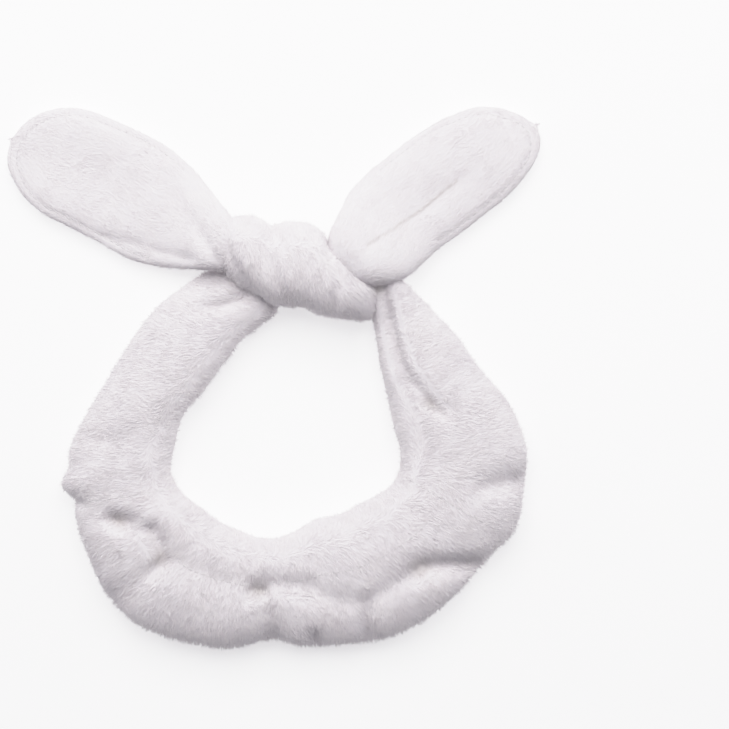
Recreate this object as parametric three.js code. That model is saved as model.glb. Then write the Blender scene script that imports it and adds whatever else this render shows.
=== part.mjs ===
// Spa headband: a plush fleece hair band with an elasticated back and two knotted bunny ears.
//
// Millimetres, +Z up. The headband lies flat on a table: the knot and the ears are towards +Y,
// the elasticated back is towards -Y, and z = 0 is the table. The origin is under the middle of
// the whole object. The band is a tube of two fleece layers, a face panel on top and a lining
// panel below it. Its middle runs through the knot, which is the narrow waist of a second strip
// of doubled fleece, and that strip's two ends are the ears.

import * as THREE from 'three';

// ---------------------------------------------------------------------------------------------
// Driving dimensions
// ---------------------------------------------------------------------------------------------

const GAP = 0.3;                   // clearance between touching pieces
const FLEECE = 5;                  // one layer of coral fleece with its pile
const THREAD = 0.5;                // radius of a bulky sewing thread

// Ribs across the band, from the knot's left end round the back to its right end:
// [x, y, width, height] at the middle of the tube.
const BAND_RIBS = [
  [-24.8, 37.6, 28, 19],
  [-32, 29, 46, 23],
  [-53, 5, 49, 24],
  [-71, -26, 53, 25],
  [-76, -55, 56, 26],
  [-63, -83, 63, 28],
  [-37, -101, 64, 28],
  [-4, -106, 58, 28],
  [29, -102, 64, 28],
  [62, -90, 67, 28],
  [86, -66, 66, 28],
  [93, -36, 65, 27],
  [84, -9, 55, 26],
  [71, 16, 42, 24],
  [62, 34, 26, 20],
];
const BAND_MIDDLE = 10;            // height at which the face and the lining meet
const BAND_EDGE = 1.6;             // height of each panel's wall along that meeting line
const LEFT_JOIN = 4.1;             // rib numbers at which the elasticated back begins and ends
const RIGHT_JOIN = 10.1;
const JOIN_SLOT = 0.045;           // half of the slot that holds a join's stitches, in ribs
const CHANNEL = 1 / 7;             // place of the elastic's channel seam, 0 middle, 1 inner edge
const VALLEY = 0.45;               // how deep that seam pulls the face down, as a share

const ELASTIC_WIDTH = 18;
const ELASTIC_THICKNESS = 1.4;
const ELASTIC_PLACE = 0.52;        // its middle, between the band's middle and its inner edge
const ELASTIC_HEIGHT = 10;

// The knot: three diagonal wraps of the ear strip, side by side round the gathered band.
const ROPE_START = new THREE.Vector3(-20, 62, 19.5);
const ROPE_END = new THREE.Vector3(47, 43.5, 19.5);
const WRAP_NAMES = ['knot_wrap_left', 'knot_wrap_middle', 'knot_wrap_right'];
const WRAP_GAP = 0.6;
const WRAP_RADIUS = 21;            // across the rope, in plan
const WRAP_HEIGHT = 19.5;          // from the rope's middle to the table
const WRAP_BORE = 9;
const WRAP_SHOULDER = 5;           // how far a wrap's rounded shoulder drops
const WRAP_SLANT = 0.42;           // how far a wrap leans along the rope for each mm across it
const CORE_RADIUS = 6.5;
const CORE_ROUTE = [
  [-23.3, 41.8, 9.8],
  [-25, 47.5, 10.2],
  [-27.3, 53.5, 12],
  [-26, 59.5, 15.5],
  [-19, 61.7, 18.9],
  [-8, 58.7, 19.5],
  [24, 49.8, 19.5],
  [46, 43.8, 19.5],
  [54, 42.2, 17],
  [58.6, 40.2, 12],
  [60.6, 36.6, 10],
];

// Each ear lies in a frame of its own: x from the knot to the tip, y across.
// The fold line is at x = 19, half the ear's thickness above the table.
const EAR_LAYER = 5.6;             // one fleece layer, pressed flat
const EAR_EDGE = 2;                // rounding of a layer's edge
const EARS = [
  {
    side: 'left',
    root: [-26, 66],
    turn: 156,
    neckStart: 4.5,
    outline: [
      [20, 20], [38, 26], [62, 26], [86, 25], [104, 18.5], [114.5, 6.5], [116.5, -6], [112, -18],
      [103.5, -29], [91, -35.5], [76, -36.5], [52, -35.5], [32, -31], [20, -24.5],
    ],
  },
  {
    side: 'right',
    root: [46, 60],
    turn: 39.6,
    neckStart: 1.6,
    outline: [
      [20, 31], [32, 33.5], [64, 32.5], [86, 26], [97, 17.5], [104, 7], [105.5, -4.5], [101, -14],
      [94, -19.5], [81, -22.5], [60, -23], [36, -22.5], [20, -21.5],
    ],
  },
];
const TOPSTITCH_INSET = 0.8;       // the topstitch's outline, as a share of the ear's
const NECK_START = [27.2, 15];     // height and half width where a neck leaves the knot
const NECK_ROUTE = [[8, 25, 16], [11.3, 16.5, 18], [14, 8, 19], [16.6, 5.8, 20]];
const NECK_THICKNESS = 10.5;       // NECK_ROUTE: [along, height, half width]

// ---------------------------------------------------------------------------------------------
// Materials
// ---------------------------------------------------------------------------------------------

const fleece = { color: 0xf0edf4, roughness: 0.95, metalness: 0 };
const fleeceLining = { color: 0xece9f0, roughness: 0.95, metalness: 0 };
const knittedElastic = { color: 0xf3f1ea, roughness: 0.7, metalness: 0 };
const polyesterThread = { color: 0xf7f6fa, roughness: 0.5, metalness: 0 };

const headband = new THREE.Group();

function addPiece(name, geometry, look, parent = headband) {
  const piece = new THREE.Mesh(geometry, new THREE.MeshStandardMaterial(look));
  piece.name = name;
  parent.add(piece);
}

// ---------------------------------------------------------------------------------------------
// Shape helpers
// ---------------------------------------------------------------------------------------------

// A closed sheet with thickness: a box whose points are put elsewhere by place(u, s, top), with
// u from -1 to 1 across it, s from 0 to 1 along it and top telling its upper side.
function shapedSheet(across, along, place) {
  const geometry = new THREE.BoxGeometry(2, 1, 1, across, along, 1);
  const corner = geometry.attributes.position;
  for (let i = 0; i < corner.count; i += 1) {
    const point = place(corner.getX(i), corner.getY(i) + 0.5, corner.getZ(i) > 0);
    corner.setXYZ(i, point.x, point.y, point.z);
  }
  return geometry;
}

function sweptCord(points, radius, sides, steps) {
  const section = new THREE.Shape();
  for (let i = 0; i < sides; i += 1) {
    const angle = (i / sides) * 2 * Math.PI;
    const corner = [radius * Math.cos(angle), radius * Math.sin(angle)];
    if (i === 0) section.moveTo(...corner);
    else section.lineTo(...corner);
  }
  const extrudePath = new THREE.CatmullRomCurve3(points);
  return new THREE.ExtrudeGeometry(section, { steps, bevelEnabled: false, extrudePath });
}

// ---------------------------------------------------------------------------------------------
// Band
// ---------------------------------------------------------------------------------------------

const LAST_RIB = BAND_RIBS.length - 1;
const bandLine = new THREE.CatmullRomCurve3(BAND_RIBS.map(([x, y]) => new THREE.Vector3(x, y, 0)));
const bandSize = new THREE.CatmullRomCurve3(BAND_RIBS.map(([, , w, h]) => new THREE.Vector3(w, h, 0)));

// A point of the band at a rib number, u from -1 on the outer edge to 1 on the inner edge.
function bandPoint(rib, u, z) {
  const t = rib / LAST_RIB;
  const tangent = bandLine.getTangent(t);
  const inward = new THREE.Vector3(-tangent.y, tangent.x, 0);
  const halfWidth = bandSize.getPoint(t).x / 2;
  return bandLine.getPoint(t).addScaledVector(inward, u * halfWidth).setZ(z);
}

function mound(u) {
  return Math.pow(1 - Math.pow(Math.abs(u), 2.4), 0.55);
}

// The back is pulled down along the elastic's channel seam, and plain at its two joins.
function faceHeight(rib, u) {
  const height = bandSize.getPoint(rib / LAST_RIB).y;
  const inBack = THREE.MathUtils.clamp(Math.min(rib - LEFT_JOIN, RIGHT_JOIN - rib), 0, 1);
  const pinch = 1 - VALLEY * inBack * Math.exp(-Math.pow((u - CHANNEL) / 0.13, 2));
  const foot = BAND_MIDDLE + GAP / 2 + BAND_EDGE;
  return foot + (height - foot) * mound(u) * pinch;
}

function liningDepth(u) {
  const foot = BAND_MIDDLE - GAP / 2 - BAND_EDGE;
  return foot * (1 - Math.min(1, 1.25 * mound(u)));
}

function facePanel(fromRib, toRib, along) {
  return shapedSheet(14, along, (u, s, top) => {
    const rib = THREE.MathUtils.lerp(fromRib, toRib, s);
    const height = faceHeight(rib, -u);
    const inside = Math.max(BAND_MIDDLE + GAP / 2, height - FLEECE);
    return bandPoint(rib, -u, top ? height : inside);
  });
}

function liningPanel(fromRib, toRib, along) {
  return shapedSheet(14, along, (u, s, top) => {
    const rib = THREE.MathUtils.lerp(fromRib, toRib, s);
    const depth = liningDepth(u);
    const inside = Math.min(BAND_MIDDLE - GAP / 2, depth + FLEECE);
    return bandPoint(rib, -u, top ? inside : depth);
  });
}

const BAND_LENGTHS = [
  { name: 'band_left', from: 0, to: LEFT_JOIN - JOIN_SLOT, along: 12 },
  { name: 'band_back', from: LEFT_JOIN + JOIN_SLOT, to: RIGHT_JOIN - JOIN_SLOT, along: 20 },
  { name: 'band_right', from: RIGHT_JOIN + JOIN_SLOT, to: LAST_RIB, along: 12 },
];
for (const { name, from, to, along } of BAND_LENGTHS) {
  addPiece(`${name}_face`, facePanel(from, to, along), fleece);
  addPiece(`${name}_lining`, liningPanel(from, to, along), fleeceLining);
}

// Elastic inside the back's inner roll, flat between the two layers.
function elasticStrip(fromRib, toRib, thickness, along) {
  return shapedSheet(1, along, (u, s, top) => {
    const rib = THREE.MathUtils.lerp(fromRib, toRib, s);
    const halfWidth = bandSize.getPoint(rib / LAST_RIB).x / 2;
    const place = ELASTIC_PLACE - (u * ELASTIC_WIDTH) / 2 / halfWidth;
    return bandPoint(rib, place, ELASTIC_HEIGHT + (top ? thickness : -thickness) / 2);
  });
}
const ELASTIC_END = 0.3;           // how far inside a join the elastic ends, in ribs
const TACK_LENGTH = 0.14;
const TACK_SPACE = 0.02;
const elasticFrom = LEFT_JOIN + ELASTIC_END;
const elasticTo = RIGHT_JOIN - ELASTIC_END;
addPiece('elastic_strip', elasticStrip(elasticFrom, elasticTo, ELASTIC_THICKNESS, 18), knittedElastic);
const TACKS = [
  { name: 'elastic_left_bartack', from: elasticFrom - TACK_SPACE - TACK_LENGTH },
  { name: 'elastic_right_bartack', from: elasticTo + TACK_SPACE },
];
for (const { name, from } of TACKS) {
  addPiece(name, elasticStrip(from, from + TACK_LENGTH, 2 * ELASTIC_THICKNESS, 2), polyesterThread);
}

// The channel seam's thread lies in the valley of the face.
function channelSeam() {
  const points = [];
  for (let rib = LEFT_JOIN + 0.5; rib <= RIGHT_JOIN - 0.5; rib += 0.25) {
    points.push(bandPoint(rib, CHANNEL, faceHeight(rib, CHANNEL) + 3 * THREAD));
  }
  return sweptCord(points, THREAD, 5, 30);
}
addPiece('elastic_channel_stitch', channelSeam(), polyesterThread);

// A join's stitches go once round the tube, in the slot between two lengths of band.
function joinStitch(rib) {
  const points = [];
  const reach = 0.9;
  const turns = 18;
  for (let i = 0; i < turns; i += 1) {
    const angle = (i / turns) * 2 * Math.PI;
    const u = reach * Math.cos(angle);
    const rise = Math.sin(angle) > 0 ? faceHeight(rib, u) - 2 : liningDepth(u) + 2;
    points.push(bandPoint(rib, u, rise));
  }
  return sweptCord(points, THREAD, 5, 30);
}
addPiece('left_join_stitch', joinStitch(LEFT_JOIN), polyesterThread);
addPiece('right_join_stitch', joinStitch(RIGHT_JOIN), polyesterThread);

// ---------------------------------------------------------------------------------------------
// Knot
// ---------------------------------------------------------------------------------------------

const coreRoute = CORE_ROUTE.map((point) => new THREE.Vector3(...point));
addPiece('band_gathered_middle', sweptCord(coreRoute, CORE_RADIUS, 10, 34), fleece);

// One wrap: a ring with rounded shoulders round the rope's axis, leaning along it.
function knotWrap(width) {
  const half = width / 2;
  const steps = 6;
  const profile = [new THREE.Vector2(WRAP_BORE, -half)];
  for (let i = 0; i <= steps; i += 1) {
    const across = -half + (i / steps) * width;
    const round = Math.sqrt(1 - Math.pow((across / half) * 0.98, 2));
    profile.push(new THREE.Vector2(WRAP_RADIUS - WRAP_SHOULDER * (1 - round), across));
  }
  profile.push(new THREE.Vector2(WRAP_BORE, half));
  profile.push(profile[0].clone());
  const geometry = new THREE.LatheGeometry(profile, 28);
  const corner = geometry.attributes.position;
  for (let i = 0; i < corner.count; i += 1) {
    const across = corner.getX(i);
    const height = (corner.getZ(i) * WRAP_HEIGHT) / WRAP_RADIUS;
    corner.setXYZ(i, corner.getY(i) - WRAP_SLANT * across, across, height);
  }
  return flipped(geometry);
}

// Turns a geometry's triangles over, after its points were mirrored.
function flipped(geometry) {
  const order = geometry.index;
  for (let i = 0; i < order.count; i += 3) {
    const second = order.getX(i + 1);
    order.setX(i + 1, order.getX(i + 2));
    order.setX(i + 2, second);
  }
  return geometry;
}

const rope = new THREE.Group();
const ropeLine = new THREE.Vector3().subVectors(ROPE_END, ROPE_START);
rope.position.copy(ROPE_START);
rope.rotation.z = Math.atan2(ropeLine.y, ropeLine.x);
headband.add(rope);
const wrapPitch = ropeLine.length() / WRAP_NAMES.length;
WRAP_NAMES.forEach((name, i) => {
  const geometry = knotWrap(wrapPitch - WRAP_GAP).translate((i + 0.5) * wrapPitch, 0, 0);
  addPiece(name, geometry, fleece, rope);
});

// Hidden hand stitches under the knot that keep it from opening.
function tackStitch() {
  const inWrap = wrapPitch * 1.5;
  const bar = new THREE.CapsuleGeometry(THREAD, 9, 3, 8);
  return bar.rotateZ(Math.PI / 2).translate(inWrap, 0, -(CORE_RADIUS + WRAP_BORE) / 2);
}
addPiece('knot_tack_stitch', tackStitch(), polyesterThread, rope);

// ---------------------------------------------------------------------------------------------
// Ears
// ---------------------------------------------------------------------------------------------

function earShape(outline) {
  const shape = new THREE.Shape();
  const [first, ...rest] = outline.map(([x, y]) => new THREE.Vector2(x, y));
  shape.moveTo(first.x, first.y);
  shape.splineThru(rest);
  shape.closePath();
  return shape;
}

function earLayer(outline) {
  const extrude = {
    depth: EAR_LAYER - 2 * EAR_EDGE,
    bevelSize: EAR_EDGE,
    bevelOffset: -EAR_EDGE,
    bevelThickness: EAR_EDGE,
    bevelSegments: 2,
    curveSegments: 3,
  };
  return new THREE.ExtrudeGeometry(earShape(outline), extrude).translate(0, 0, EAR_EDGE);
}

// The topstitch runs parallel to the ear's edge, from one side of the fold round to the other.
function earTopstitch(outline) {
  const middle = new THREE.Vector2();
  for (const [x, y] of outline) {
    middle.add(new THREE.Vector2(x, y).divideScalar(outline.length));
  }
  const height = 2 * EAR_LAYER + GAP + 2 * THREAD;
  const points = outline.map(([x, y]) => {
    const inset = new THREE.Vector2(x, y).lerp(middle, 1 - TOPSTITCH_INSET);
    return new THREE.Vector3(inset.x, inset.y, height);
  });
  return sweptCord(points, THREAD, 5, 36);
}

// The neck is the strip's gathered stretch, from the top of the knot down to the fold line.
function earNeck(start) {
  const stops = [[start, ...NECK_START], ...NECK_ROUTE];
  const route = new THREE.CatmullRomCurve3(stops.map(([x, z, w]) => new THREE.Vector3(x, w, z)));
  return shapedSheet(6, 8, (u, s, top) => {
    const point = route.getPoint(s);
    const slope = route.getTangent(s).setY(0).normalize();
    const offset = (top ? 1 : -1) * (NECK_THICKNESS / 2) * Math.pow(1 - 0.7 * u * u, 0.5);
    return new THREE.Vector3(point.x - slope.z * offset, -u * point.y, point.z + slope.x * offset);
  });
}

for (const { side, root, turn, neckStart, outline } of EARS) {
  const ear = new THREE.Group();
  ear.position.set(root[0], root[1], 0);
  ear.rotation.z = THREE.MathUtils.degToRad(turn);
  headband.add(ear);
  addPiece(`${side}_ear_back`, earLayer(outline), fleeceLining, ear);
  const front = earLayer(outline).translate(0, 0, EAR_LAYER + GAP);
  addPiece(`${side}_ear_front`, front, fleece, ear);
  addPiece(`${side}_ear_topstitch`, earTopstitch(outline), polyesterThread, ear);
  addPiece(`${side}_ear_neck`, earNeck(neckStart), fleece, ear);
}

// The origin goes under the middle of the whole object.
const outer = new THREE.Box3().setFromObject(headband, true);
const middle = outer.getCenter(new THREE.Vector3());
headband.position.set(-middle.x, -middle.y, -outer.min.z);

export default headband;
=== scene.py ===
"""Spa headband of white coral fleece: an elasticated band, a knot and two bunny ears, lying flat.

Lengths in the tables are millimetres in the frame's axes: the knot and the ears are towards +Y,
the elasticated back towards -Y, and z = 0 is the table.
"""
import math

import bpy
import numpy as np
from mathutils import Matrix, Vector
from mathutils.bvhtree import BVHTree


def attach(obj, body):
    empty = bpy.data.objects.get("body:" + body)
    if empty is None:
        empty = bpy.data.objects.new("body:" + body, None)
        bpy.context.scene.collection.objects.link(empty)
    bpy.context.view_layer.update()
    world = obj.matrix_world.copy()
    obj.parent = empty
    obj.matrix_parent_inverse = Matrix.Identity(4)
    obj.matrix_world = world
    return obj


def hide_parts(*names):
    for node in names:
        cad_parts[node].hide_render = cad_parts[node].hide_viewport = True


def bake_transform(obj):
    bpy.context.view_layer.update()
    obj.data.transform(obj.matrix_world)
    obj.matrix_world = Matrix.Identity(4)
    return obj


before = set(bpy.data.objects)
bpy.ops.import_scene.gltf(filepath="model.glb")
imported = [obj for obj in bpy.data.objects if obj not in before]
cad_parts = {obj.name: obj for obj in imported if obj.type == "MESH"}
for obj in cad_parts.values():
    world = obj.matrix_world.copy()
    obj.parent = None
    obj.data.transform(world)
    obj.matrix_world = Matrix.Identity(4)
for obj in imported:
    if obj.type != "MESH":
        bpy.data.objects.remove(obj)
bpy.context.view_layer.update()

MM = 0.001
PILE = 1.6                 # how far the pile stands out of the cloth under it
PUFF_ROOM = 1.2            # the cloth starts this much smaller, and puffs out to its size
PUFF_CAP = 4               # the furthest that it puffs out
PUFF_PRESSURE = 3.0
PUFF_FRAMES = 20
FLOOR = 0.5                # the cloth's lowest point above the table
HELD_HEIGHT = 2            # cloth that starts this close to the table doesn't puff out
HELD_DEPTH = 3             # nor does a crease this deep
LUMP_HEIGHT, LUMP_SIZE = 0.18, 22         # the soft lumps of the loose filling
SHARP_WIDTH, SHARP_DEPTH = 0.7, 0.15      # a crease's sharp middle, as shares of the crease

# Band: matching points of its outer and inner edge, from the knot's left round the back to its right,
# with the tube's height there.
BAND = [
    # outer x, y   inner x, y   height
    (-34, 54, -4, 47, 17),
    (-46, 46, 4, 33.5, 20),
    (-62, 34, -11, 21, 22),
    (-76, 14, -22, 7, 24),
    (-88, -6, -33, -7, 25),
    (-98, -23, -43, -19, 25),
    (-104, -36, -47, -33, 25),
    (-104.5, -45, -49, -43, 26),
    (-108, -54, -48, -49, 26),
    (-101.5, -61, -46, -53.5, 26),
    (-100.5, -72, -42, -58, 27),
    (-95, -87, -37, -62, 28),
    (-86, -107, -30, -67, 28),
    (-71, -123, -21, -72, 28),
    (-48, -132, -13, -75, 28),
    (-24, -136, -6, -77, 28),
    (0, -132, 3, -77, 28),
    (15, -136, 12, -73, 28),
    (32, -134.5, 21, -67.5, 28),
    (52, -132.5, 31, -66, 28),
    (74, -123, 41, -60.5, 28),
    (93, -108, 50, -56, 28),
    (109, -90, 57, -51, 28),
    (122, -76, 60, -44, 28),
    (126.5, -55, 60, -36, 27),
    (127, -33, 57, -25, 27),
    (118, -12, 54, -12, 26),
    (104, 5, 51, 1, 26),
    (92, 22, 49, 13, 25),
    (79, 35.5, 47, 25, 24),
    (68, 47, 44, 37, 25),
    (60, 54, 42, 45, 24),
]
# The knot's rope of wraps: matching points of its upper and lower edge, with its lowest and highest z.
ROPE = [
    # upper x, y   lower x, y   low, high
    (-27, 75, -31, 58, 9, 27),
    (-20, 81, -25, 50, 2, 34),
    (-11, 82, -14, 39.5, 0, 36.5),
    (0, 78.5, 1, 33, 0, 38),
    (10, 79, 15, 32.5, 0, 39),
    (19, 77, 25, 28, 0, 39),
    (27, 70, 36, 26.5, 0, 38),
    (34, 66, 48, 27, 1, 34),
    (42, 62, 52, 36, 4, 28),
    (47, 57, 53, 44, 8, 21),
]
# The locks run from a darker lilac at the root, a painted shade between the locks, to the fleece's own white
# at the tip.
LOCK_ROOT_SHADE, LOCK_TIP = (0.76, 0.73, 0.775), (0.92, 0.88, 0.89)
# The warm grey of the painted shade in the puckers and along the right ear's fold.
HOLLOW_SHADE_COLOUR = (0.62, 0.585, 0.575)
# How bright each amount of light is shown: the highlights roll off, as they do on film.
SHOULDER = [(0, 0), (0.45, 0.43), (0.7, 0.64), (1.0, 0.82), (1.4, 0.92), (2.0, 0.98), (3, 1)]
TABLE_SIZE, TABLE_GLOW = 6, 0.5
VIEW_CENTRE, VIEW_WIDTH, CAMERA_HEIGHT = (0.0447, 0.0062), 0.3645, 1.3      # in metres
LIGHTS = [
    # name, place, size, energy, colour
    ("key", (-0.03, 0.72, 1.1), 1.2, 19.5, (1.0, 0.985, 0.98)),
    ("left_card", (-0.9, 0.3, 0.6), 0.7, 3, (1, 1, 1)),
    ("right_card", (0.9, 0.3, 0.6), 0.7, 3, (1, 1, 1)),
]
# The studio's walls: the light they give, and how pale they look past the table.
FILL_LIGHT, BACKDROP = (0.18, 0.176, 0.2, 1), (1.2, 1.2, 1.2, 1)
# Ears, each in a frame of its own with x from the knot to the tip: x, its two edges, its low and high z.
EARS = {
    "left": {
        "root": (-26, 66), "turn": 156,
        "ribs": [
            (-8, -12, 14, 12, 30), (0, -16, 17, 13, 33), (8, -20, 20, 8, 30), (16, -24, 23, 2, 23),
            (26, -29.5, 26, 0, 17), (40, -34.5, 28, 0, 15), (56, -37, 26.5, 0, 14.5),
            (74, -37, 25.5, 0, 15), (90, -36, 24.5, 0, 14.5), (102, -31, 20, 0, 13.5),
            (110, -24, 14, 0.5, 12), (115, -16, 7.5, 1.5, 10), (117.6, -6, -4, 4, 7),
        ],
    },
    "right": {
        "root": (46, 60), "turn": 39.6,
        "ribs": [
            (-15, -9, 15, 14, 32), (-8, -16, 22, 9, 37), (0, -20.5, 26, 6, 37), (8, -23, 30, 3, 32),
            (16, -23.3, 33, 1, 25), (28, -22.5, 34.5, 0, 18.5), (44, -23.5, 34.5, 0, 16),
            (62, -24, 33.5, 0, 15), (76, -23.5, 30, 0, 15), (88, -21.5, 25.5, 0, 14.5),
            (97, -18.5, 18, 0, 13), (103, -13, 9.5, 0.5, 11.5), (106.2, -6.5, 1, 2, 9),
            (107.2, -4, -3, 4, 7),
        ],
    },
}
LEFT_JOIN, RIGHT_JOIN = 9.2, 22.7      # where the elasticated back starts and ends, in the band's table
CHANNEL = 0.571            # the elastic's channel seam, as a share of the way from outer to inner edge
CHANNEL_GAP = 0.7          # the channel seam stops this far from the joins, in rows of the band's table
EAR_TURN_POINT = 30        # the topstitch starts this far along the ear
SEAM_INSET = 6.0           # the ears' topstitch from their edge
# Folds and puckers, each a row of points with its width and depth.
BAND_PUCKERS = [
    ([(-92, -31), (-76, -31)], 4, 0.8),
    ([(-79, -70), (-72, -72)], 5, 6.8),
    ([(-100, -66), (-80, -71)], 8, 1.2),
    ([(-103, -60), (-95, -63)], 3.5, 2.5),
    ([(-72, -72), (-60, -76)], 6, 2),
    ([(-60, -75), (-57, -82), (-54, -89), (-60, -97)], 3.8, 6.8),
    ([(-60, -97), (-72, -106), (-84, -111)], 7, 2.4),
    ([(-54, -89), (-44, -92), (-30, -98), (-16, -102)], 6, 1.8),
    ([(-10, -104.5), (-5, -105)], 3.8, 8.5),
    ([(-5, -101), (8, -102.5), (18, -104)], 5.5, 3.6),
    ([(-4.5, -109), (-1.5, -128)], 4.5, 3.6),
    ([(20, -107), (38, -110), (45, -112)], 4.5, 2.2),
    ([(46, -110), (47, -128)], 3.4, 5.4),
    ([(68, -97), (58, -103), (50, -109), (47, -114)], 4.5, 3),
    ([(69, -96.5), (74, -93), (84, -93), (98, -93.5)], 5, 6.5),
    ([(104, -54), (122, -51)], 5.5, 3.2),
    ([(21, -134), (20, -127)], 3, 4),
    ([(1, -133), (-1, -124)], 4, 3),
    ([(54.5, 43), (57.5, 24.5), (62.5, 6), (67, -2), (71.5, -6.5), (76.5, -13), (83, -18)], 3.5, 3.2),
    ([(75, -11), (78.5, -15)], 3, 4.5),
    ([(-34, 34), (-24, 35), (-13, 39.5)], 3.2, 3),
]
# The deepest spots of the puckers, which get a warm grey painted shade: place and width.
HOLLOWS = [(-75.5, -71, 4), (-56, -88, 4), (-7.5, -105, 4.5), (76.5, -13, 3.5), (72, -94, 5), (51, 43, 3)]
ROPE_CREASES = [
    ([(-27, 74), (-21, 58), (-14, 47), (-6, 36)], 3.2, 2.4),
    ([(-1, 80), (-3, 62), (2, 48), (6, 39)], 3, 1.8),
    ([(29, 70), (28, 59), (33, 48), (30, 36)], 3, 1.8),
    ([(46, 62), (52, 47)], 4, 3),
    ([(4.5, 69), (5, 60)], 1.6, 1.2),
]
EAR_CREASES = {
    "left": [
        ([(-86, 70), (-62.5, 63.5), (-40, 57.5)], 2.8, 1.4),
        ([(-39.5, 76), (-33, 66), (-27, 57)], 2.8, 2.0),
        ([(-49, 88), (-40, 77), (-31, 64)], 3.2, 1.2),
        ([(-112, 108), (-85, 97)], 15, 1.6),
    ],
    "right": [
        ([(46, 64), (58, 72), (72.5, 82.5), (90, 97)], 1.6, 1.5),
        ([(113, 129), (116.5, 121), (116, 112)], 2, 1.2),
    ],
}


# ---------------------------------------------------------------------------------------------
# Surfaces
# ---------------------------------------------------------------------------------------------

def smooth_through(points, count, ease=0.0):
    """A smooth row of count points through the given ones, closer together at its end by ease."""
    points = np.asarray(points, float)
    spans = len(points) - 1
    share = np.linspace(0, 1, count)
    share = (1 - ease) * share + ease * np.sin(share * math.pi / 2)
    place = share * spans
    first = np.clip(place.astype(int), 0, spans - 1)
    t = (place - first)[:, None]
    ends = np.vstack([2 * points[0] - points[1], points, 2 * points[-1] - points[-2]])
    a, b, c, d = (ends[first + k] for k in range(4))
    curve = 2 * b + (c - a) * t + (2 * a - 5 * b + 4 * c - d) * t**2 + (3 * b - a - 3 * c + d) * t**3
    return curve / 2


def rounded(value, power):
    """The value with its sign, raised to a power: below 1 makes a section fuller."""
    return np.sign(value) * np.abs(value) ** power


def padded_tube(name, edge_a, edge_b, low, high, around, inset, power):
    """A closed tube between two edge lines, a rounded pillow in section, with a map along and around it."""
    along = len(edge_a)
    angle = np.arange(around) / around * 2 * math.pi
    side, rise = rounded(np.cos(angle), power), rounded(np.sin(angle), power)
    middle, half = (edge_a + edge_b) / 2, (edge_b - edge_a) / 2
    width = np.linalg.norm(half, axis=1, keepdims=True)
    half = half * np.clip(1 - inset / np.maximum(width, 1e-6), 0.15, 1)
    low, high = low + inset * 0.4, high - inset
    centre_z = low + (high - low) * 0.45
    grid = np.zeros((along, around, 3))
    grid[:, :, :2] = middle[:, None] + half[:, None] * side[None, :, None]
    reach = np.where(rise[None] > 0, (high - centre_z)[:, None], (centre_z - low)[:, None])
    grid[:, :, 2] = centre_z[:, None] + rise[None] * reach
    ends = np.array([grid[0].mean(axis=0), grid[-1].mean(axis=0)])
    points = np.vstack([grid.reshape(-1, 3), ends]) * MM
    faces, maps = [], []
    for i in range(along - 1):
        for j in range(around):
            k = (j + 1) % around
            faces.append((i * around + j, i * around + k, (i + 1) * around + k, (i + 1) * around + j))
            maps += [(i, j), (i, j + 1), (i + 1, j + 1), (i + 1, j)]
    for row, tip in ((0, along * around), (along - 1, along * around + 1)):
        for j in range(around):
            k = (j + 1) % around
            ring = (row * around + j, row * around + k)
            faces.append((tip, ring[1], ring[0]) if row == 0 else (tip, ring[0], ring[1]))
            corners = [(row, j + 0.5), (row, j + 1), (row, j)]
            maps += corners if row == 0 else [corners[0], corners[2], corners[1]]
    mesh = bpy.data.meshes.new(name)
    mesh.from_pydata(points.tolist(), [], faces)
    layer = mesh.uv_layers.new(name="OFBake")
    place = np.array(maps) / (along - 1, around) * 0.98 + 0.01
    layer.uv.foreach_set("vector", place.astype(np.float32).ravel())
    mesh.update()
    piece = bpy.data.objects.new(name, mesh)
    bpy.context.collection.objects.link(piece)
    face_out(piece)
    return piece


def face_out(piece):
    """Turns the faces outwards if the closed mesh is inside out."""
    corners = points_of(piece)
    volume = 0.0
    for face in piece.data.polygons:
        ring = [corners[i] for i in face.vertices]
        for a, b in zip(ring[1:], ring[2:]):
            volume += float(np.dot(ring[0], np.cross(a, b)))
    if volume < 0:
        piece.data.flip_normals()


def points_of(piece):
    """The piece's points, in metres."""
    corners = np.zeros(len(piece.data.vertices) * 3, np.float32)
    piece.data.vertices.foreach_get("co", corners)
    return corners.reshape(-1, 3).astype(float)


def normals_of(piece):
    """The directions that the piece's surface faces at its points."""
    normals = np.zeros(len(piece.data.vertices) * 3, np.float32)
    piece.data.vertex_normals.foreach_get("vector", normals)
    return normals.reshape(-1, 3).astype(float)


def put_points(piece, corners):
    """Moves the piece's points to new places."""
    piece.data.vertices.foreach_set("co", corners.astype(np.float32).ravel())
    piece.data.update()


def deselect():
    """Leaves nothing selected."""
    for other in bpy.context.selected_objects:
        other.select_set(False)


def only(piece):
    """Selects one piece alone and makes it the active one."""
    deselect()
    piece.select_set(True)
    bpy.context.view_layer.objects.active = piece


def apply(piece, kind, **settings):
    """Adds a modifier with those settings and applies it."""
    only(piece)
    modifier = piece.modifiers.new(kind.title(), kind)
    for key, value in settings.items():
        setattr(modifier, key, value)
    bpy.ops.object.modifier_apply(modifier=modifier.name)


# ---------------------------------------------------------------------------------------------
# Folds, puckers and soft unevenness
# ---------------------------------------------------------------------------------------------

def line_distance(points, row):
    """Plan distance in millimetres from each point to a row of points."""
    nearest = np.full(len(points), 1e9)
    for a, b in zip(row, row[1:]):
        a, b = np.array(a, float), np.array(b, float)
        t = np.clip((points - a) @ (b - a) / max((b - a) @ (b - a), 1e-9), 0, 1)
        nearest = np.minimum(nearest, np.linalg.norm(points - a - t[:, None] * (b - a), axis=1))
    return nearest


def crease_depth(corners, creases):
    """How deep the creases are at each point, in millimetres."""
    plan = corners[:, :2] / MM
    depth = np.zeros(len(corners))
    for row, width, deep in creases:
        depth = np.maximum(depth, deep * np.exp(-((line_distance(plan, row) / width) ** 2)))
    return depth


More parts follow.
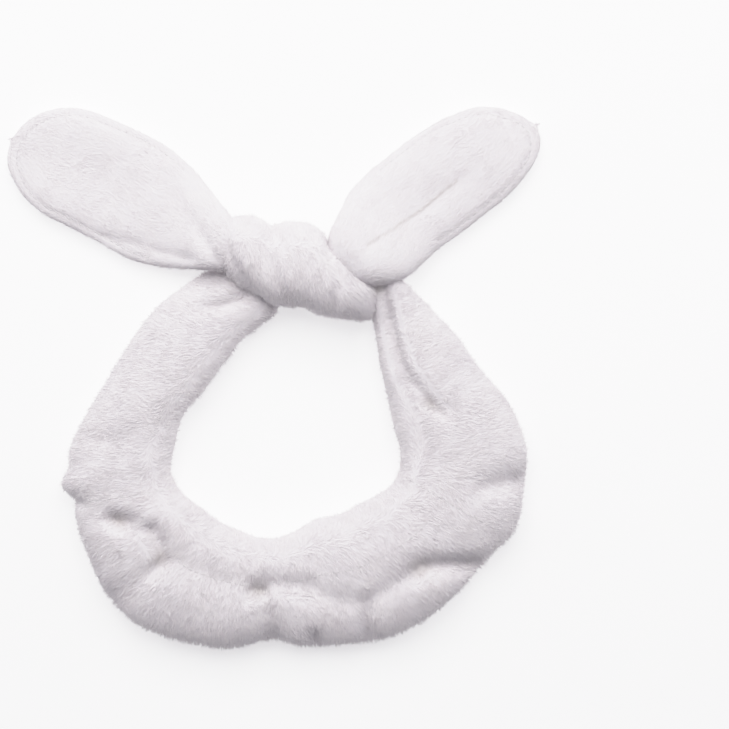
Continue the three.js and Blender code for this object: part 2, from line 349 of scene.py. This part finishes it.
def press_creases(piece, creases, top_only):
    """Presses folds and puckers in, on the upper side only or all round."""
    corners, normals = points_of(piece), normals_of(piece)
    share = np.clip(normals[:, 2] * 2.5, 0, 1) if top_only else 1.0
    depth = crease_depth(corners, creases) * share
    put_points(piece, corners - normals * depth[:, None] * MM)


def waves(corners, size, seed):
    """A smooth random field from -1 to 1 with lumps of about that size in millimetres."""
    random = np.random.default_rng(seed)
    turn = random.normal(size=(14, 3)) * (2.2 / (size * MM))
    start = random.uniform(0, 2 * math.pi, 14)
    return np.sin(corners @ turn.T + start).sum(axis=1) / 3.7


def uneven(piece, amount, size, seed):
    """Gives the surface soft lumps, as fleece over a loose filling has."""
    corners, normals = points_of(piece), normals_of(piece)
    lift = waves(corners, size, seed) * amount * MM
    put_points(piece, corners + normals * lift[:, None])


def rest_on_table(piece):
    """Flattens what would go through the table."""
    corners = points_of(piece)
    corners[:, 2] = np.maximum(corners[:, 2], FLOOR * MM)
    put_points(piece, corners)


def plump(piece, creases, pressure, cap):
    """Lets the cloth fill out between its seams and puckers, as stuffed fleece does."""
    before = points_of(piece)
    hold = piece.vertex_groups.new(name="held")
    depth = crease_depth(before, creases)
    floor = before[:, 2] < HELD_HEIGHT * MM
    for i, deep in enumerate(depth):
        weight = 1.0 if floor[i] else min(1.0, deep / HELD_DEPTH)
        if weight > 0.05:
            hold.add([i], weight, "REPLACE")
    only(piece)
    cloth = piece.modifiers.new("Plump", "CLOTH")
    fabric = cloth.settings
    fabric.vertex_group_mass = hold.name
    fabric.use_pressure = True
    fabric.uniform_pressure_force = pressure
    fabric.tension_stiffness = 12
    fabric.compression_stiffness = 12
    fabric.shear_stiffness = 6
    fabric.bending_stiffness = 0.4
    fabric.mass = 0.15
    fabric.quality = 5
    fabric.effector_weights.gravity = 0
    cloth.collision_settings.use_collision = False
    cloth.point_cache.frame_start, cloth.point_cache.frame_end = 1, PUFF_FRAMES
    for number in range(1, PUFF_FRAMES + 1):
        bpy.context.scene.frame_set(number)
    bpy.ops.object.modifier_apply(modifier=cloth.name)
    bpy.context.scene.frame_set(1)
    moved = points_of(piece) - before
    length = np.linalg.norm(moved, axis=1, keepdims=True)
    moved *= np.minimum(1, cap * MM / np.maximum(length, 1e-9))
    put_points(piece, before + moved)
    piece.vertex_groups.clear()


def fleece_body(name, edge_a, edge_b, low, high, around, power, creases, top_only, seed):
    """One stuffed fleece piece between two edge lines, with its folds, without its pile."""
    piece = padded_tube(name, edge_a, edge_b, low, high, around, PILE + PUFF_ROOM, power)
    press_creases(piece, creases, top_only)
    plump(piece, creases, PUFF_PRESSURE, PUFF_CAP)
    apply(piece, "SUBSURF", levels=1, render_levels=1)
    sharper = [(row, width * SHARP_WIDTH, deep * SHARP_DEPTH) for row, width, deep in creases]
    press_creases(piece, sharper, top_only)
    uneven(piece, LUMP_HEIGHT, LUMP_SIZE, seed)
    apply(piece, "SUBSURF", levels=1, render_levels=1)
    rest_on_table(piece)
    only(piece)
    bpy.ops.object.shade_smooth()
    return piece


def make_band():
    """The band, from the knot's left round the back to its right."""
    table = smooth_through(BAND, 150)
    low = np.zeros(len(table))
    return fleece_body("band_fleece", table[:, 0:2], table[:, 2:4], low, table[:, 4], 40, 0.93,
                       BAND_PUCKERS, True, 11)


def make_knot():
    """The knot's wraps, which lie side by side round the band."""
    table = smooth_through(ROPE, 44)
    return fleece_body("knot_fleece", table[:, 0:2], table[:, 2:4], table[:, 4], table[:, 5], 44, 0.88,
                       ROPE_CREASES, False, 23)


def ear_point(side, x, y):
    """A point of an ear's own frame, given in the object's frame, in millimetres."""
    ear = EARS[side]
    turn = math.radians(ear["turn"])
    return (ear["root"][0] + x * math.cos(turn) - y * math.sin(turn),
            ear["root"][1] + x * math.sin(turn) + y * math.cos(turn))


def make_ear(side):
    """One ear with its neck, and the groove that its topstitch pulls in."""
    table = smooth_through(EARS[side]["ribs"], 54, ease=0.55)
    edge_a = np.array([ear_point(side, x, y) for x, y in table[:, [0, 1]]])
    edge_b = np.array([ear_point(side, x, y) for x, y in table[:, [0, 2]]])
    ear = fleece_body(f"{side}_ear_fleece", edge_a, edge_b, table[:, 3], table[:, 4], 44, 0.8,
                      EAR_CREASES[side], True, 31 if side == "left" else 37)
    press_creases(ear, [(ear_seam(side), 1.5, 0.5)], False)
    return ear


# ---------------------------------------------------------------------------------------------
# Pile
# ---------------------------------------------------------------------------------------------

# One lock, in millimetres.
LOCK_SPACING = 0.62
LOCK_WIDTH = 0.28          # half the width of its root
LOCK_SINK = 0.4            # how deep its root sits in the cloth
LOWEST_TIP, LOWEST_ROOT = 0.15, 0.1       # above the table
# The same, as shares of its length.
LOCK_LIE, LOCK_RISE = 0.93, 0.33          # how far its tip goes along the cloth and away from it
RIDGE = 0.25               # its ridge, along the cloth and away from it
STRAY_RISE = 0.45          # how much more a lock that stands up rises
SHORTEST, LONGEST = 0.5, 1.5              # as shares of the usual length
# How much locks differ from each other.
LENGTH_VARIES, RISE_VARIES, WIDTH_VARIES, TONE_VARIES = 0.12, 0.06, 0.15, 0.1
# How far the combing wanders: in wide patches, in clumps, and from lock to lock.
SWAY, CLUMP, SCATTER = 0.25, 0.12, 0.07
RUFFLE = 4                 # how many times more locks stand up where the pile faces the back
STANDS_ABOVE = -0.1        # below this slope no lock stands up
CLIMB_START, CLIMB_END = 0.2, 0.5         # the slopes between which climbing pile turns round
PARTING = 1.6              # how firmly it lies along the piece there
UNDERSIDE, UNDERSIDE_SHARE = -0.4, 0.4    # below this slope only this share of the locks is made
# Its corners are the two sides of its root, its ridge and its tip.
LOCK_FACES = np.array([(0, 2, 3), (2, 1, 3), (1, 0, 3), (0, 1, 2)])
LOCK_MAP = np.array([(-1, -1), (1, -1), (0, 0.4), (0, 1)]) * 0.0015
# Where each corner sits between the root and tip colours: the dark roots are painted shade between the
# locks.
LOCK_SHADED_TONES = np.array([[0.25, 0.25, 0.55, 1.0]])
FACING_UP_TONE = 0.8            # the even tone that replaces the painted root shade where the cloth faces up
# The cloth under the pile takes a tone near the roots': painted shade under the pile.
CLOTH_SHADE_TONE = 0.45
SOFT = 0.86                # how far a lock is shaded like the cloth under it and not by its own sides
PUCKER_SHADE, FOLD_SHADE = 0.7, 0.75      # how far painted shade darkens the puckers and the right ear's fold towards warm grey
# How wide the painted shade along the right ear's fold is.
FOLD_WIDTH = 0.8


def surface_samples(piece, spacing, seed):
    """Random places on a piece: point, normal, the two map directions and the map place."""
    mesh = piece.data
    mesh.calc_loop_triangles()
    count = len(mesh.loop_triangles)
    corner = np.zeros(count * 3, np.int32)
    loops = np.zeros(count * 3, np.int32)
    area = np.zeros(count, np.float32)
    mesh.loop_triangles.foreach_get("vertices", corner)
    mesh.loop_triangles.foreach_get("loops", loops)
    mesh.loop_triangles.foreach_get("area", area)
    corner, loops = corner.reshape(-1, 3), loops.reshape(-1, 3)
    place = np.zeros(len(mesh.loops) * 2, np.float32)
    mesh.uv_layers["OFBake"].uv.foreach_get("vector", place)
    place = place.reshape(-1, 2).astype(float)
    points, normals = points_of(piece), normals_of(piece)
    random = np.random.default_rng(seed)
    number = int(area.sum() / (spacing * MM) ** 2)
    chosen = random.choice(count, number, p=area / area.sum())
    mix = random.dirichlet((1, 1, 1), number)[:, :, None]
    corner, loops = corner[chosen], loops[chosen]
    point = (points[corner] * mix).sum(axis=1)
    normal = unit((normals[corner] * mix).sum(axis=1))
    where = (place[loops] * mix).sum(axis=1)
    side_a, side_b = points[corner[:, 1]] - points[corner[:, 0]], points[corner[:, 2]] - points[corner[:, 0]]
    map_a, map_b = place[loops[:, 1]] - place[loops[:, 0]], place[loops[:, 2]] - place[loops[:, 0]]
    turn = np.sign(map_a[:, 0] * map_b[:, 1] - map_a[:, 1] * map_b[:, 0])[:, None]
    along = unit((side_a * map_b[:, 1:2] - side_b * map_a[:, 1:2]) * turn)
    around = unit((side_b * map_a[:, 0:1] - side_a * map_b[:, 0:1]) * turn)
    return point, normal, along, around, where, random


def unit(vectors):
    """The vectors with their length made 1."""
    return vectors / np.maximum(np.linalg.norm(vectors, axis=1, keepdims=True), 1e-12)


def mark(mesh, name, values):
    """Stores a number for each of the mesh's points, for its material."""
    layer = mesh.attributes.new(name, "FLOAT", "POINT")
    layer.data.foreach_set("value", np.asarray(values, np.float32).ravel())


def hollow_shade_at(points):
    """How much warm grey painted shade each point gets in a pucker or along the right ear's fold, from 0 to
    1.
    """
    plan = points[:, :2] / MM
    depth = np.zeros(len(points))
    for x, y, width in HOLLOWS:
        away = np.linalg.norm(plan - (x, y), axis=1)
        depth = np.maximum(depth, PUCKER_SHADE * np.exp(-((away / width) ** 2)))
    fold = EAR_CREASES["right"][0][0]
    return np.maximum(depth, FOLD_SHADE * np.exp(-((line_distance(plan, fold) / FOLD_WIDTH) ** 2)))


def hung(flow, along):
    """Turns the pile round where it would point up a steep side, so that it hangs on both sides."""
    climb = np.clip((flow[:, 2:] - CLIMB_START) / (CLIMB_END - CLIMB_START), 0, 1)
    return flow * (1 - 2 * climb) + PARTING * along * climb * (1 - climb)


def combed(point, normal, flow, seed, random):
    """The way that each lock lies on the cloth, which wanders in wide patches and in small clumps."""
    sway = np.stack([waves(point, 16, seed + k) for k in range(3)], axis=1)
    clump = np.stack([waves(point, 4, 60 + k) for k in range(3)], axis=1)
    way = flow + SWAY * sway + CLUMP * clump + random.normal(scale=SCATTER, size=(len(point), 3))
    return unit(way - normal * (way * normal).sum(axis=1, keepdims=True))


def lock_corners(point, normal, way, length, stray, random):
    """Each lock's four corners: the two sides of its root, its ridge and its tip."""
    count = len(point)
    reach = 1 + LENGTH_VARIES * waves(point, 5, 71) + random.normal(scale=LENGTH_VARIES, size=count)
    reach = np.clip(length * MM * reach, SHORTEST * length * MM, LONGEST * length * MM)[:, None]
    across = np.cross(normal, way)
    root = point - normal * LOCK_SINK * MM
    rise = LOCK_RISE + RISE_VARIES * waves(point, 6, 83)[:, None]
    rise = rise + random.normal(scale=RISE_VARIES, size=(count, 1))
    ruffled = stray * (1 + RUFFLE * np.clip(-normal[:, 1], 0, 1) ** 2)
    rise[(random.random(count) < ruffled) & (normal[:, 2] > STANDS_ABOVE)] += STRAY_RISE
    tip = root + reach * (LOCK_LIE * way + rise * normal)
    tip[:, 2] = np.maximum(tip[:, 2], LOWEST_TIP * MM)
    width = LOCK_WIDTH * MM * (1 + random.normal(scale=WIDTH_VARIES, size=(count, 1)))
    ridge = root + reach * RIDGE * way + normal * (reach * RIDGE + width * 0.2)
    corners = np.stack([root + width * across, root - width * across, ridge, tip], axis=1)
    corners[:, :, 2] = np.maximum(corners[:, :, 2], LOWEST_ROOT * MM)
    return corners


def locks_mesh(name, corners, where):
    """One mesh of all the locks, each with four faces, mapped at its place on the cloth."""
    count = len(corners)
    mesh = bpy.data.meshes.new(name)
    mesh.vertices.add(count * 4)
    mesh.vertices.foreach_set("co", corners.astype(np.float32).ravel())
    mesh.loops.add(count * 12)
    order = (np.arange(count)[:, None] * 4 + LOCK_FACES.ravel()[None]).astype(np.int32)
    mesh.loops.foreach_set("vertex_index", order.ravel())
    mesh.polygons.add(count * 4)
    mesh.polygons.foreach_set("loop_start", np.arange(0, count * 12, 3, dtype=np.int32))
    mesh.polygons.foreach_set("loop_total", np.full(count * 4, 3, dtype=np.int32))
    layer = mesh.uv_layers.new(name="OFBake")
    placed = np.clip(where[:, None] + LOCK_MAP[LOCK_FACES.ravel()][None], 0.001, 0.999)
    layer.uv.foreach_set("vector", placed.astype(np.float32).ravel())
    mesh.update(calc_edges=True)
    return mesh


def shade_like_cloth(mesh, corners, normal):
    """Turns the locks' shading towards the cloth's, and level where the cloth faces down."""
    flat = corners[:, LOCK_FACES]
    facing = unit(np.cross(flat[:, :, 1] - flat[:, :, 0], flat[:, :, 2] - flat[:, :, 0]).reshape(-1, 3))
    lifted = normal.copy()
    lifted[:, 2] = np.maximum(lifted[:, 2], 0.1)
    cloth = np.repeat(unit(lifted), 4, axis=0)
    share = SOFT * np.clip(1.3 * (facing * cloth).sum(axis=1, keepdims=True), 0, 1)
    soft = unit(facing * (1 - share) + cloth * share)
    mesh.normals_split_custom_set(np.repeat(soft, 3, axis=0).tolist())


def make_pile(name, piece, comb, seed, within=(0, 1), length=2.8, stray=0.12, even=0.35):
    """Pointed locks of pile over a fleece piece, combed by comb(along, around).

    Within is the part of the piece's length that is covered, and length is a lock's, in millimetres.
    Stray is the share of locks that stand up, which is larger where the pile faces the back.
    Even, from 0 to 1, evens out the painted root shade where the cloth faces up, towards the lights.
    """
    point, normal, along, around, where, random = surface_samples(piece, LOCK_SPACING, seed)
    kept = (where[:, 0] >= within[0]) & (where[:, 0] < within[1])
    kept &= (normal[:, 2] > UNDERSIDE) | (random.random(len(point)) < UNDERSIDE_SHARE)
    point, normal, along, around, where = (data[kept] for data in (point, normal, along, around, where))
    way = combed(point, normal, hung(comb(along, around), along), seed, random)
    corners = lock_corners(point, normal, way, length, stray, random)
    mesh = locks_mesh(name, corners, where)
    # Each lock's tone is darker at the root as painted shade, and varies at random from lock to lock.
    shade = random.normal(scale=TONE_VARIES, size=(len(point), 1))
    shade = shade + TONE_VARIES * waves(point, 9, 95)[:, None]
    tone = np.clip(LOCK_SHADED_TONES + shade, 0, 1)
    # Where the cloth faces up, the painted root shade gives way to one even tone.
    faces_up = np.clip(1.5 * normal[:, 2:] - 0.4, 0, 1)
    mark(mesh, "tone", tone + (FACING_UP_TONE - tone) * even * faces_up)
    # Warm grey painted shade in the puckers and along the right ear's fold.
    mark(mesh, "hollow_shade", np.repeat(hollow_shade_at(point), 4))
    pile = bpy.data.objects.new(name, mesh)
    bpy.context.collection.objects.link(pile)
    only(pile)
    bpy.ops.object.shade_smooth()
    shade_like_cloth(mesh, corners, normal)
    return pile


# ---------------------------------------------------------------------------------------------
# Stitches
# ---------------------------------------------------------------------------------------------

STITCH_PITCH, STITCH_SIZE = 3.2, 0.32     # from one stitch to the next, and half a stitch's width
STITCH_SIDES = 6
# A stitch's rings: where each is along the stitch, in millimetres, and how full it is there.
STITCH_RINGS = [(-1.15, 0.35), (-0.7, 0.95), (0.7, 0.95), (1.15, 0.35)]


def on_surface(piece, starts, ways):
    """Where rays from starts along ways first meet the piece, and the surface's normal there."""
    faces = [tuple(face.vertices) for face in piece.data.polygons]
    tree = BVHTree.FromPolygons(points_of(piece).tolist(), faces)
    found = []
    for start, way in zip(starts, ways):
        hit, normal, _, _ = tree.ray_cast(Vector(start), Vector(way))
        if hit is not None:
            found.append((hit, normal))
    return found


def make_stitches(name, rows):
    """Short raised stitches along rows of (point, normal)."""
    points, faces = [], []
    for row in rows:
        walked = 0.0
        for (here, normal), (there, _) in zip(row, row[1:]):
            walked += (there - here).length
            if walked < STITCH_PITCH * MM:
                continue
            walked = 0.0
            way = (there - here).normalized()
            across = way.cross(normal).normalized()
            first = len(points)
            for place, bulge in STITCH_RINGS:
                centre = here + way * place * MM + normal * (0.15 * bulge - 0.05) * MM
                for turn in range(STITCH_SIDES):
                    angle = turn * 2 * math.pi / STITCH_SIDES
                    lift = across * math.cos(angle) + normal * math.sin(angle)
                    points.append(centre + lift * STITCH_SIZE * bulge * MM)
            last = len(points) - STITCH_SIDES
            for ring in range(first, last, STITCH_SIDES):
                for turn in range(STITCH_SIDES):
                    a, b = ring + turn, ring + (turn + 1) % STITCH_SIDES
                    faces.append((a, b, b + STITCH_SIDES, a + STITCH_SIDES))
            faces.append(tuple(first + turn for turn in reversed(range(STITCH_SIDES))))
            faces.append(tuple(last + turn for turn in range(STITCH_SIDES)))
    mesh = bpy.data.meshes.new(name)
    mesh.from_pydata([tuple(point) for point in points], [], faces)
    mesh.update()
    piece = bpy.data.objects.new(name, mesh)
    bpy.context.collection.objects.link(piece)
    face_out(piece)
    only(piece)
    bpy.ops.object.shade_smooth()
    return piece


def ear_seam(side):
    """The topstitch's route in the ear's own frame, parallel to the edge and round the tip."""
    ribs = smooth_through(EARS[side]["ribs"], 90, ease=0.55)
    tip = ribs[-1, 0]
    upper, lower = [], []
    for x, low, high, _, _ in ribs:
        half = (high - low) / 2 - SEAM_INSET
        if x < EAR_TURN_POINT or half < 1:
            continue
        centre = (low + high) / 2
        x -= (SEAM_INSET - 1.5) * ((x - EAR_TURN_POINT) / (tip - EAR_TURN_POINT)) ** 4
        upper.append((x, centre - half))
        lower.append((x, centre + half))
    return [ear_point(side, x, y) for x, y in upper + lower[::-1]]


def ear_stitches(side, ear):
    """The ear's topstitching, on its upper and its lower face."""
    route = smooth_through(ear_seam(side), 900) * MM
    rows = []
    for height, way in ((0.1, -1), (-0.1, 1)):
        starts = [(x, y, height) for x, y in route]
        rows.append(on_surface(ear, starts, [(0, 0, way)] * len(starts)))
    return make_stitches(f"{side}_ear_stitches", rows)


def band_section(row):
    """The band's outer and inner edge and its height at a place in its table."""
    place = min(int(row), len(BAND) - 2)
    share = row - place
    return np.array(BAND[place]) * (1 - share) + np.array(BAND[place + 1]) * share


def join_stitches(name, row, piece):
    """A ring of stitches round the band at a place in its table."""
    section = band_section(row)
    centre = np.array([*(section[0:2] + section[2:4]) / 2, section[4] / 2]) * MM
    across = np.array([*unit((section[2:4] - section[0:2])[None])[0], 0])
    ways = [across * math.cos(turn) + np.array([0, 0, math.sin(turn)])
            for turn in np.linspace(0, 2 * math.pi, 700)]
    starts = [centre + way * 0.08 for way in ways]
    return make_stitches(name, [on_surface(piece, starts, [-way for way in ways])])


def channel_stitches(piece):
    """The row of stitches that keeps the elastic in its channel."""
    route = []
    for row in np.linspace(LEFT_JOIN + CHANNEL_GAP, RIGHT_JOIN - CHANNEL_GAP, 900):
        section = band_section(row)
        route.append((*(section[0:2] * (1 - CHANNEL) + section[2:4] * CHANNEL) * MM, 0.1))
    return make_stitches("channel_stitches", [on_surface(piece, route, [(0, 0, -1)] * len(route))])


# ---------------------------------------------------------------------------------------------
# Materials
# ---------------------------------------------------------------------------------------------

def plain_material(name, colour, roughness):
    """A material of one colour, and its shader."""
    material = bpy.data.materials.new(name)
    material.use_nodes = True
    shader = material.node_tree.nodes["Principled BSDF"]
    shader.inputs["Base Color"].default_value = (*colour, 1)
    shader.inputs["Roughness"].default_value = roughness
    return material, shader


def fleece_material(name):
    """White fleece: the tone attribute goes from lilac roots, a painted shade, to white tips; the other
    attribute mixes in a warm grey painted shade in the puckers and the right ear's fold.
    """
    material, shader = plain_material(name, LOCK_TIP, 0.95)
    shader.inputs["Sheen Weight"].default_value = 0.3
    shader.inputs["Sheen Roughness"].default_value = 0.6
    nodes, links = material.node_tree.nodes, material.node_tree.links
    colour = None
    for attribute, low, high in (("tone", LOCK_ROOT_SHADE, LOCK_TIP), ("hollow_shade", None, HOLLOW_SHADE_COLOUR)):
        amount = nodes.new("ShaderNodeAttribute")
        amount.attribute_name = attribute
        mix = nodes.new("ShaderNodeMix")
        mix.data_type = "RGBA"
        links.new(amount.outputs["Fac"], mix.inputs["Factor"])
        if low is None:
            links.new(colour, mix.inputs["A"])
        else:
            mix.inputs["A"].default_value = (*low, 1)
        mix.inputs["B"].default_value = (*high, 1)
        colour = mix.outputs["Result"]
    links.new(colour, shader.inputs["Base Color"])
    return material


def make_ribs_group():
    """Fine ribs across the object, as on twisted thread and knitted elastic: a colour, darker in the grooves
    as painted shade, and a height.
    """
    group = bpy.data.node_groups.new("fine_ribs", "ShaderNodeTree")
    inputs = {"Ribs per metre": "NodeSocketFloat", "Ridge": "NodeSocketColor", "Groove": "NodeSocketColor"}
    for name, kind in inputs.items():
        group.interface.new_socket(name=name, in_out="INPUT", socket_type=kind)
    for name, kind in (("Colour", "NodeSocketColor"), ("Height", "NodeSocketFloat")):
        group.interface.new_socket(name=name, in_out="OUTPUT", socket_type=kind)
    nodes, links = group.nodes, group.links
    given, result = nodes.new("NodeGroupInput"), nodes.new("NodeGroupOutput")
    place = nodes.new("ShaderNodeTexCoord")
    wave = nodes.new("ShaderNodeTexWave")
    wave.inputs["Distortion"].default_value = 0.6
    mix = nodes.new("ShaderNodeMix")
    mix.data_type = "RGBA"
    links.new(place.outputs["Object"], wave.inputs["Vector"])
    links.new(given.outputs["Ribs per metre"], wave.inputs["Scale"])
    links.new(wave.outputs["Fac"], mix.inputs["Factor"])
    links.new(given.outputs["Groove"], mix.inputs["A"])
    links.new(given.outputs["Ridge"], mix.inputs["B"])
    links.new(mix.outputs["Result"], result.inputs["Colour"])
    links.new(wave.outputs["Fac"], result.inputs["Height"])
    return group


def ribbed_material(name, colour, ribs, group):
    """Thread or knitted elastic, with that many ribs in a metre."""
    material, shader = plain_material(name, colour, 0.7)
    nodes, links = material.node_tree.nodes, material.node_tree.links
    pattern = nodes.new("ShaderNodeGroup")
    pattern.node_tree = group
    pattern.inputs["Ribs per metre"].default_value = ribs
    pattern.inputs["Ridge"].default_value = (*colour, 1)
    # The grooves are painted darker than the ridges: painted shade between the ribs.
    pattern.inputs["Groove"].default_value = (*(0.85 * part for part in colour), 1)
    bump = nodes.new("ShaderNodeBump")
    bump.inputs["Strength"].default_value = 0.4
    bump.inputs["Distance"].default_value = 0.0003
    links.new(pattern.outputs["Height"], bump.inputs["Height"])
    links.new(pattern.outputs["Colour"], shader.inputs["Base Color"])
    links.new(bump.outputs["Normal"], shader.inputs["Normal"])
    return material


# ---------------------------------------------------------------------------------------------
# Camera, light and table
# ---------------------------------------------------------------------------------------------

def make_camera():
    """Looks straight down on the table from CAMERA_HEIGHT and takes in VIEW_WIDTH of it."""
    camera = bpy.data.objects.new("camera", bpy.data.cameras.new("camera"))
    camera.location = (*VIEW_CENTRE, CAMERA_HEIGHT)
    camera.data.sensor_width = 36
    camera.data.lens = camera.data.sensor_width * CAMERA_HEIGHT / VIEW_WIDTH
    bpy.context.collection.objects.link(camera)
    bpy.context.scene.camera = camera


def make_light(name, place, size, energy, colour):
    """A square soft light that faces the object."""
    data = bpy.data.lights.new(name, "AREA")
    data.size, data.energy, data.color = size, energy, colour
    light = bpy.data.objects.new(name, data)
    light.location = place
    light.rotation_mode = "QUATERNION"
    light.rotation_quaternion = (-Vector(place)).to_track_quat("-Z", "Y")
    bpy.context.collection.objects.link(light)


def make_studio():
    """A pale table, a soft key light from behind the knot, a pale card on each side, and pale walls."""
    deselect()
    bpy.ops.mesh.primitive_plane_add(size=TABLE_SIZE, location=(0, 0, 0))
    table = bpy.context.object
    table.name = "table"
    material, shader = plain_material("pale_table", (0.95, 0.95, 0.95), 0.8)
    shader.inputs["Emission Color"].default_value = (1, 1, 1, 1)
    shader.inputs["Emission Strength"].default_value = TABLE_GLOW
    table.data.materials.append(material)
    for light in LIGHTS:
        make_light(*light)
    world = bpy.data.worlds.new("studio")
    bpy.context.scene.world = world
    world.use_nodes = True
    nodes, links = world.node_tree.nodes, world.node_tree.links
    path, mix = nodes.new("ShaderNodeLightPath"), nodes.new("ShaderNodeMix")
    mix.data_type = "RGBA"
    mix.inputs["A"].default_value, mix.inputs["B"].default_value = FILL_LIGHT, BACKDROP
    links.new(path.outputs["Is Camera Ray"], mix.inputs["Factor"])
    links.new(mix.outputs["Result"], nodes["Background"].inputs["Color"])
    display = bpy.context.scene.view_settings
    display.view_transform = "Standard"
    display.use_curve_mapping = True
    display.curve_mapping.clip_max_x = SHOULDER[-1][0]
    curve = display.curve_mapping.curves[3]
    curve.points[0].location, curve.points[1].location = SHOULDER[0], SHOULDER[-1]
    for light, shown_light in SHOULDER[1:-1]:
        curve.points.new(light, shown_light)
    display.curve_mapping.update()


make_camera()
make_studio()

white_fleece = fleece_material("white_coral_fleece")

band, knot = make_band(), make_knot()
left_ear, right_ear = make_ear("left"), make_ear("right")
bodies = (band, knot, left_ear, right_ear)


def over_the_band(along, around):
    """The band's pile is combed across it."""
    return around + 0.2 * along


def round_the_rope(along, around):
    """The knot's pile is combed round its wraps."""
    return 0.15 * along - around


def to_the_tip(along, _):
    """The ears' pile is combed along them."""
    return along


BAND_PARTS = {"left": (0, 0.3), "back_left": (0.3, 0.5), "back_right": (0.5, 0.72), "right": (0.72, 1.1)}
band_piles = [make_pile(f"band_{part}_pile", band, over_the_band, 101 + number, within)
              for number, (part, within) in enumerate(BAND_PARTS.items())]
knot_pile = make_pile("knot_pile", knot, round_the_rope, 106, stray=0.1, even=0.25)
left_pile = make_pile("left_ear_pile", left_ear, to_the_tip, 107, length=2.3, stray=0.06, even=0.5)
right_pile = make_pile("right_ear_pile", right_ear, to_the_tip, 108, length=2.3, stray=0.06, even=0.5)
piles = [*band_piles, knot_pile, left_pile, right_pile]
# The cloth gets a darker tone, as painted shade under the pile, and a warm grey painted shade in its
# puckers.
for piece in bodies:
    mark(piece.data, "tone", np.full(len(piece.data.vertices), CLOTH_SHADE_TONE))
    mark(piece.data, "hollow_shade", hollow_shade_at(points_of(piece)))
for piece in (*bodies, *piles):
    piece.data.materials.append(white_fleece)

stitches = {
    "left_ear": ear_stitches("left", left_ear),
    "right_ear": ear_stitches("right", right_ear),
    "channel": channel_stitches(band),
    "left_join": join_stitches("left_join_stitches", LEFT_JOIN, band),
    "right_join": join_stitches("right_join_stitches", RIGHT_JOIN, band),
}
fine_ribs = make_ribs_group()
thread = ribbed_material("white_thread", (0.80, 0.78, 0.79), 500, fine_ribs)
elastic = ribbed_material("knitted_elastic", (0.78, 0.77, 0.75), 160, fine_ribs)
for piece in stitches.values():
    piece.data.materials.append(thread)
for node in ("elastic_left_bartack", "elastic_right_bartack", "knot_tack_stitch"):
    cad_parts[node].data.materials.clear()
    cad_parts[node].data.materials.append(thread)
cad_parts["elastic_strip"].data.materials.clear()
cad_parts["elastic_strip"].data.materials.append(elastic)

band_stitches = [stitches[part] for part in ("channel", "left_join", "right_join")]
for piece in (band, *band_piles, *band_stitches):
    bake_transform(piece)
for piece in (knot, knot_pile):
    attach(piece, "knotted_front")
for side, pieces in (("left", (left_ear, left_pile, stitches["left_ear"])),
                     ("right", (right_ear, right_pile, stitches["right_ear"]))):
    for piece in pieces:
        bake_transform(piece)

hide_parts("band_left_face", "band_left_lining", "band_right_face", "band_right_lining",
            "band_back_face", "band_back_lining")
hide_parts("knot_wrap_left", "knot_wrap_middle", "knot_wrap_right", "band_gathered_middle")
for side, piece in (("left", left_ear), ("right", right_ear)):
    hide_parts(f"{side}_ear_neck", f"{side}_ear_front", f"{side}_ear_back")
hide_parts("left_ear_topstitch")
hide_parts("right_ear_topstitch")
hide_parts("elastic_channel_stitch")
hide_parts("left_join_stitch")
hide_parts("right_join_stitch")
